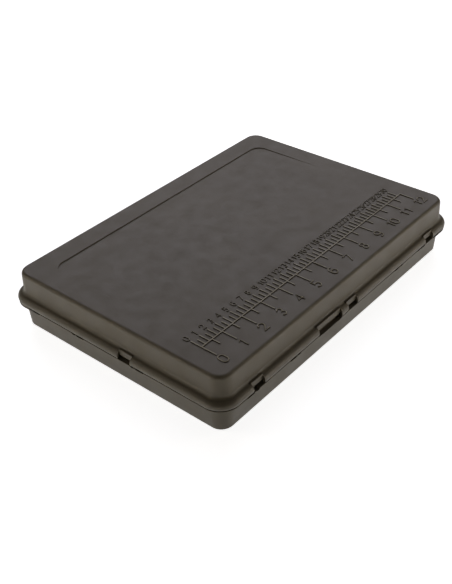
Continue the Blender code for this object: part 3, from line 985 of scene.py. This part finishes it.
def make_divider(node):
    low, high = Vector(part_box(node)[0]), Vector(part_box(node)[1])
    middle = (low.y + high.y) / 2
    radius = (SCOOP_HALF_WIDTH**2 + SCOOP_DEPTH**2) / (2 * SCOOP_DEPTH)
    turn = 2 * asin(SCOOP_HALF_WIDTH / radius)
    plate = touch_down(node + "_plate", (low.x, low.y, low.z))
    line_to(plate, (low.x, high.y, low.z))
    line_to(plate, (low.x, high.y, high.z))
    line_to(plate, (low.x, middle + SCOOP_HALF_WIDTH, high.z))
    arc_round((low.x, middle, high.z - SCOOP_DEPTH + radius), -turn, SCOOP_FACETS)
    line_to(plate, (low.x, low.y, high.z))
    line_to(plate, low)
    merge_all()
    pick(plate, "VERT", lambda v: abs(v.co.y - low.y) < WELD or abs(v.co.y - high.y) < WELD)
    bpy.ops.mesh.bevel(offset=CORNER_ROUND, segments=6, affect="VERTICES")
    fill_and_pull(plate, (high.x - low.x, 0, 0))
    return soften_ends(settle(plate), RIGHT, DIVIDER_SOFT, 2)


dividers = {}
for row, count in ROWS.items():
    first = f"divider_{row}_1"
    dividers[first] = make_divider(first)
    for number in range(2, count + 1):
        node = f"divider_{row}_{number}"
        move = middle_of(node) - middle_of(first)
        dividers[node] = copy_to(dividers[first], node + "_plate", move)
print("dividers:", len(dividers))

# %% [markdown]
# ## The hinge pins
# A pin is a piece of drawn steel wire, cut to length, with both ends chamfered by tumbling.

# %% Model the pins
PIN_CHAMFER = 0.00025
PINS = ["hinge_pin_left", "hinge_pin_middle", "hinge_pin_right"]


def make_pin(node):
    low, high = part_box(node)
    pin = rod(node + "_wire", (low[0] + high[0]) / 2, PIN, high[0] - low[0], sides=32)
    return soften_ends(pin, RIGHT, PIN_CHAMFER, 2)


pins = {node: make_pin(node) for node in PINS}
print("pins:", len(pins), "of", round(1000 * pins[PINS[0]].dimensions.x, 2), "mm")

# %% [markdown]
# ## Shading that keeps flat faces flat
# Round and flat faces meet all over a moulding. Smooth shading alone would bend the light on the
# flat faces next to a fillet. Weighted normals give the large faces the say, so that all of
# the turn in the light happens on the fillet, as it does on the real piece.

# %% Shade the pieces
SMOOTH_ANGLE = radians(35)


def shade(piece):
    only(piece)
    bpy.ops.object.shade_smooth_by_angle(angle=SMOOTH_ANGLE)
    weighted = piece.modifiers.new("weighted", "WEIGHTED_NORMAL")
    weighted.keep_sharp = True
    apply(piece, weighted)


pieces = [lid, ruler, base, *partitions.values(), *dividers.values(), *pins.values()]
for piece in pieces:
    shade(piece)
print("pieces shaded:", len(pieces))

# %% [markdown]
# ## Moulded plastic
# The mouldings are one olive-brown plastic. Its surface comes from a spark-eroded mould: a fine,
# even grain a third of a millimetre across, which takes the shine off. Slow changes of tone
# and gloss come from how the melt flowed and from handling. All of it is on Object
# coordinates, which are metres, so a noise scale of 1000 is a grain of one millimetre.

# %% Node helpers and the plastic
def fill_in(node, inputs):
    # underscores stand for the spaces in an input's name
    for name, value in inputs.items():
        node.inputs[name.replace("_", " ")].default_value = value
    return node


def add_node(material, kind, **inputs):
    return fill_in(material.node_tree.nodes.new("ShaderNode" + kind), inputs)


def new_material(name, **inputs):
    material = bpy.data.materials.new(name)
    material.use_nodes = True
    return material, fill_in(material.node_tree.nodes["Principled BSDF"], inputs)


def link(material, output, socket):
    material.node_tree.links.new(output, socket)


def noise(material, scale, detail, stretch=(1, 1, 1)):
    place = add_node(material, "TexCoord")
    mapping = add_node(material, "Mapping", Scale=stretch)
    texture = add_node(material, "TexNoise", Scale=scale, Detail=detail, Roughness=0.55)
    link(material, place.outputs["Object"], mapping.inputs["Vector"])
    link(material, mapping.outputs["Vector"], texture.inputs["Vector"])
    return texture.outputs["Fac"]


def between(material, factor, low, high):
    # a value that runs from low to high as a noise goes from its valleys to its hills
    node = add_node(material, "MapRange", From_Min=0.3, From_Max=0.7, To_Min=low, To_Max=high)
    link(material, factor, node.inputs["Value"])
    return node.outputs["Result"]


def blend_colours(material, factor, one, two):
    node = material.node_tree.nodes.new("ShaderNodeMix")
    node.data_type = "RGBA"
    colours = [socket for socket in node.inputs if socket.type == "RGBA"]
    colours[0].default_value = (*one, 1)
    colours[1].default_value = (*two, 1)
    link(material, factor, node.inputs["Factor"])
    return next(socket for socket in node.outputs if socket.type == "RGBA")


def bump(material, height, strength, distance, under=None):
    node = add_node(material, "Bump", Strength=strength, Distance=distance)
    link(material, height, node.inputs["Height"])
    if under:
        link(material, under, node.inputs["Normal"])
    return node.outputs["Normal"]


PLASTIC_IOR = 1.49
PLASTIC_SPECULAR = 0.4
TONE_SWING = 0.07
TONE_SCALE = 11
GLOSS_SWING = 0.05
HANDLING_SCALE = 70
FLOW_SCALE = 30
FLOW_DEPTH = 0.0002
FLOW_STRENGTH = 0.15
GRAIN_DEPTH = 0.00003
GRAIN_STRENGTH = 0.35


def moulded_plastic(name, colour, gloss, grain):
    material, shader = new_material(name, IOR=PLASTIC_IOR, Specular_IOR_Level=PLASTIC_SPECULAR)
    dark = [share * (1 - TONE_SWING) for share in colour]
    light = [share * (1 + TONE_SWING) for share in colour]
    tone = between(material, noise(material, TONE_SCALE, 3), 0.0, 1.0)
    link(material, blend_colours(material, tone, dark, light), shader.inputs["Base Color"])
    handled = noise(material, HANDLING_SCALE, 4)
    roughness = between(material, handled, gloss - GLOSS_SWING, gloss + GLOSS_SWING)
    link(material, roughness, shader.inputs["Roughness"])
    flow = noise(material, FLOW_SCALE, 1, (1, 2, 1))
    waves = bump(material, flow, FLOW_STRENGTH, FLOW_DEPTH)
    spark = bump(material, noise(material, grain, 3), GRAIN_STRENGTH, GRAIN_DEPTH, waves)
    link(material, spark, shader.inputs["Normal"])
    return material


OLIVE = (0.102, 0.085, 0.053)
SHELL_GRAIN = 2800
lid_plastic = moulded_plastic("lid_moulded_olive", OLIVE, 0.50, SHELL_GRAIN)
base_plastic = moulded_plastic("base_moulded_olive", OLIVE, 0.50, SHELL_GRAIN)
print("plastics:", lid_plastic.name, base_plastic.name)

# %% [markdown]
# ## The ruler's painted shade and highlight
# The ruler's plastic is nearly black, as painted shade on the flanks and feet of its proud
# strokes, and goes over to a pale painted highlight on their tops, by the height on Object
# coordinates. It is what makes the thin strokes read as raised ones.

# %% The ruler's plastic
# painted shade for the strokes' flanks and feet, and painted highlight for their tops
RULER_PAINTED_SHADE = (0.018, 0.015, 0.011)
RULER_PAINTED_HIGHLIGHT = (0.260, 0.228, 0.152)
HIGHLIGHT_START = HEIGHT + 0.00046
HIGHLIGHT_END = HEIGHT + 0.00063


def rub_tops(material, low, high, highlight):
    # between two heights the colour goes over from the painted shade to the painted highlight
    place = add_node(material, "TexCoord")
    split = add_node(material, "SeparateXYZ")
    highlight_share = add_node(material, "MapRange", From_Min=low, From_Max=high)
    link(material, place.outputs["Object"], split.inputs["Vector"])
    link(material, split.outputs["Z"], highlight_share.inputs["Value"])
    base_colour = material.node_tree.nodes["Principled BSDF"].inputs["Base Color"]
    moulded = base_colour.links[0].from_socket
    mixed = blend_colours(material, highlight_share.outputs["Result"], highlight, highlight)
    link(material, moulded, next(socket for socket in mixed.node.inputs if socket.type == "RGBA"))
    link(material, mixed, base_colour)


# the ruler's plastic is painted shade, with a painted highlight on the strokes' tops
ruler_plastic = moulded_plastic("ruler_painted_shade_and_highlight", RULER_PAINTED_SHADE, 0.45, SHELL_GRAIN)
rub_tops(ruler_plastic, HIGHLIGHT_START, HIGHLIGHT_END, RULER_PAINTED_HIGHLIGHT)
print("the ruler's plastic:", ruler_plastic.name)

# %% [markdown]
# ## The plates' plastic and the pins' steel
# The plates are a darker plastic with a coarser and so gentler grain, which shines a little
# more. The pins are drawn steel wire: the drawing leaves fine lines along their length.

# %% Plates and steel
DARK_OLIVE = (0.070, 0.061, 0.048)
PLATE_GRAIN = 1500
STEEL = (0.56, 0.55, 0.53)
DULL_STEEL = [share * 0.85 for share in STEEL]
DRAWN_LINES = 900
STAIN_SCALE = 150
plate_plastic = moulded_plastic("divider_moulded_dark", DARK_OLIVE, 0.42, PLATE_GRAIN)
partition_plastic = moulded_plastic("partition_moulded_dark", DARK_OLIVE, 0.45, PLATE_GRAIN)


def drawn_steel(name):
    material, shader = new_material(name, Metallic=1.0)
    lines = noise(material, DRAWN_LINES, 3, (0.03, 1, 1))
    stain = between(material, noise(material, STAIN_SCALE, 3), 0, 1)
    tint = blend_colours(material, stain, DULL_STEEL, STEEL)
    link(material, tint, shader.inputs["Base Color"])
    link(material, between(material, lines, 0.22, 0.40), shader.inputs["Roughness"])
    link(material, bump(material, lines, 0.4, 0.00001), shader.inputs["Normal"])
    return material


pin_steel = drawn_steel("pin_drawn_steel")

# %% [markdown]
# ## Each piece on its body
# A piece rides on the CAD body that it belongs to, stands for the CAD node whose place it
# takes, and gets its finish as its one material. The ruler replaces nothing: it is a
# detail of the lid, so it only rides with it.

# %% Finish and mount the pieces
def finish_piece(piece, material, body, node=None):
    piece.data.materials.clear()
    piece.data.materials.append(material)
    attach(piece, body)
    if node:
        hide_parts(node)


finish_piece(lid, lid_plastic, "lid", "lid_shell")
finish_piece(ruler, ruler_plastic, "lid")
finish_piece(base, base_plastic, "base", "base_shell")
for node, piece in partitions.items():
    finish_piece(piece, partition_plastic, "base", node)
for node, piece in dividers.items():
    finish_piece(piece, plate_plastic, node, node)
for node, piece in pins.items():
    finish_piece(piece, pin_steel, "base", node)

# %% [markdown]
# ## The camera
# The photograph's camera was worked out from the ruler: 880 millimetres away from the box, seen
# over its front left corner, and turned a little to one side. Its lens is given on the
# sensor's upright side, because the picture is taller than it is wide.

# %% Place the camera
CAMERA_PLACE = Vector((-0.5539, -0.4603, 0.5155))
CAMERA_AIM = Vector((-0.08314, -0.05094, 0.0585))
CAMERA_ROLL = radians(-2.06)
LENS = 54.905
SENSOR_HEIGHT = 36

bpy.ops.object.select_all(action="DESELECT")
turn = (CAMERA_AIM - CAMERA_PLACE).to_track_quat("-Z", "Y") @ Quaternion((0, 0, 1), CAMERA_ROLL)
bpy.ops.object.camera_add(location=CAMERA_PLACE, rotation=turn.to_euler())
camera = bpy.context.active_object
camera.name = "camera"
camera.data.sensor_fit = "VERTICAL"
camera.data.sensor_height = SENSOR_HEIGHT
camera.data.lens = LENS
camera.data.clip_start = 0.01
bpy.context.scene.camera = camera
print("camera's right:", [round(value, 4) for value in turn.to_matrix().col[0]])

# %% [markdown]
# ## The white table and the light
# The box was photographed on a bright white table. Its walls mirror that table, its lid mirrors
# two large soft boxes behind and over it, and very little light comes from the camera's side.
# The floor is a white plane that shines a little by itself: full white in gloss, and less to the
# camera, which so sees the box's soft shadow. Two lamps wash the floor in front of the walls,
# and two low and two higher ones light the box from its sides, all six a little warm.

# %% Make the table and the light
TABLE_SIZE = 8
TABLE_DROP = 0.0002
TABLE_WHITE = 0.86
TABLE_SEEN = 0.87
TABLE_GLOSS = 1.0
SKY_LEVEL = 0.03
SKY_SEEN = 0.92
WARM = (1.0, 0.92, 0.82)
COOL = (0.93, 0.91, 1.0)


def ray_strength(tree, levels):
    # the sum of one level for each kind of ray, so any other ray gets none
    path = tree.nodes.new("ShaderNodeLightPath")
    total = None
    for ray, level in levels.items():
        step = tree.nodes.new("ShaderNodeMath")
        step.operation = "MULTIPLY_ADD"
        tree.links.new(path.outputs[ray], step.inputs[0])
        step.inputs[1].default_value = level
        step.inputs[2].default_value = 0.0
        if total:
            tree.links.new(total, step.inputs[2])
        total = step.outputs[0]
    return total


def make_table():
    bpy.ops.object.select_all(action="DESELECT")
    bpy.ops.mesh.primitive_plane_add(size=TABLE_SIZE, location=(0, 0, -TABLE_DROP))
    table = bpy.context.active_object
    table.name = "table"
    white, shader = new_material(
        "table_white", Base_Color=(TABLE_WHITE, TABLE_WHITE, TABLE_WHITE, 1),
        Roughness=0.9, Specular_IOR_Level=0.0, Emission_Color=(1, 1, 1, 1),
    )
    levels = {
        "Is Camera Ray": TABLE_SEEN,
        "Is Glossy Ray": TABLE_GLOSS,
        "Is Transmission Ray": TABLE_SEEN,
    }
    link(white, ray_strength(white.node_tree, levels), shader.inputs["Emission Strength"])
    table.data.materials.append(white)
    settle(table)


def make_sky():
    world = bpy.data.worlds.new("studio")
    world.use_nodes = True
    bpy.context.scene.world = world
    sky = world.node_tree.nodes["Background"]
    sky.inputs["Color"].default_value = (1, 1, 1, 1)
    path = world.node_tree.nodes.new("ShaderNodeLightPath")
    strength = world.node_tree.nodes.new("ShaderNodeMapRange")
    fill_in(strength, {"To Min": SKY_LEVEL, "To Max": SKY_SEEN})
    world.node_tree.links.new(path.outputs["Is Camera Ray"], strength.inputs["Value"])
    world.node_tree.links.new(strength.outputs["Result"], sky.inputs["Strength"])


def soft_box(name, place, aim, wide, tall, power, tint, spread=180):
    bpy.ops.object.select_all(action="DESELECT")
    turn = (Vector(aim) - Vector(place)).to_track_quat("-Z", "Y").to_euler()
    bpy.ops.object.light_add(type="AREA", location=place, rotation=turn)
    box = bpy.context.active_object
    box.name = name
    box.data.shape = "RECTANGLE"
    box.data.size = wide
    box.data.size_y = tall
    box.data.energy = power
    box.data.color = tint
    box.data.spread = radians(spread)


LID = (0.0, 0.0, 0.05)
make_table()
make_sky()
# the washes look straight down, and a tenth of a millimetre keeps their turn defined
soft_box("wash_left", (-0.64, 0.20, 0.22), (-0.64, 0.2001, 0.0), 0.45, 0.6, 3.0, WARM, 60)
soft_box("wash_right", (0.18, -0.60, 0.22), (0.18, -0.5999, 0.0), 0.8, 0.45, 3.1, WARM, 60)
soft_box("side_left", (-2.25, 0.80, 0.16), LID, 1.1, 0.3, 5.5, WARM)
soft_box("side_right", (1.45, -2.15, 0.16), LID, 1.1, 0.3, 9.5, WARM)
soft_box("fill_left", (-0.85, 0.90, 0.68), LID, 0.5, 0.4, 1.8, WARM)
soft_box("fill_right", (0.98, -0.82, 0.62), LID, 0.5, 0.4, 1.5, WARM)
soft_box("box_behind", (0.98, 0.86, 0.95), LID, 1.8, 0.8, 9.4, COOL)
soft_box("box_over", (0.32, 0.26, 1.15), LID, 1.0, 1.0, 1.5, COOL)
bpy.context.scene.view_settings.view_transform = "Standard"
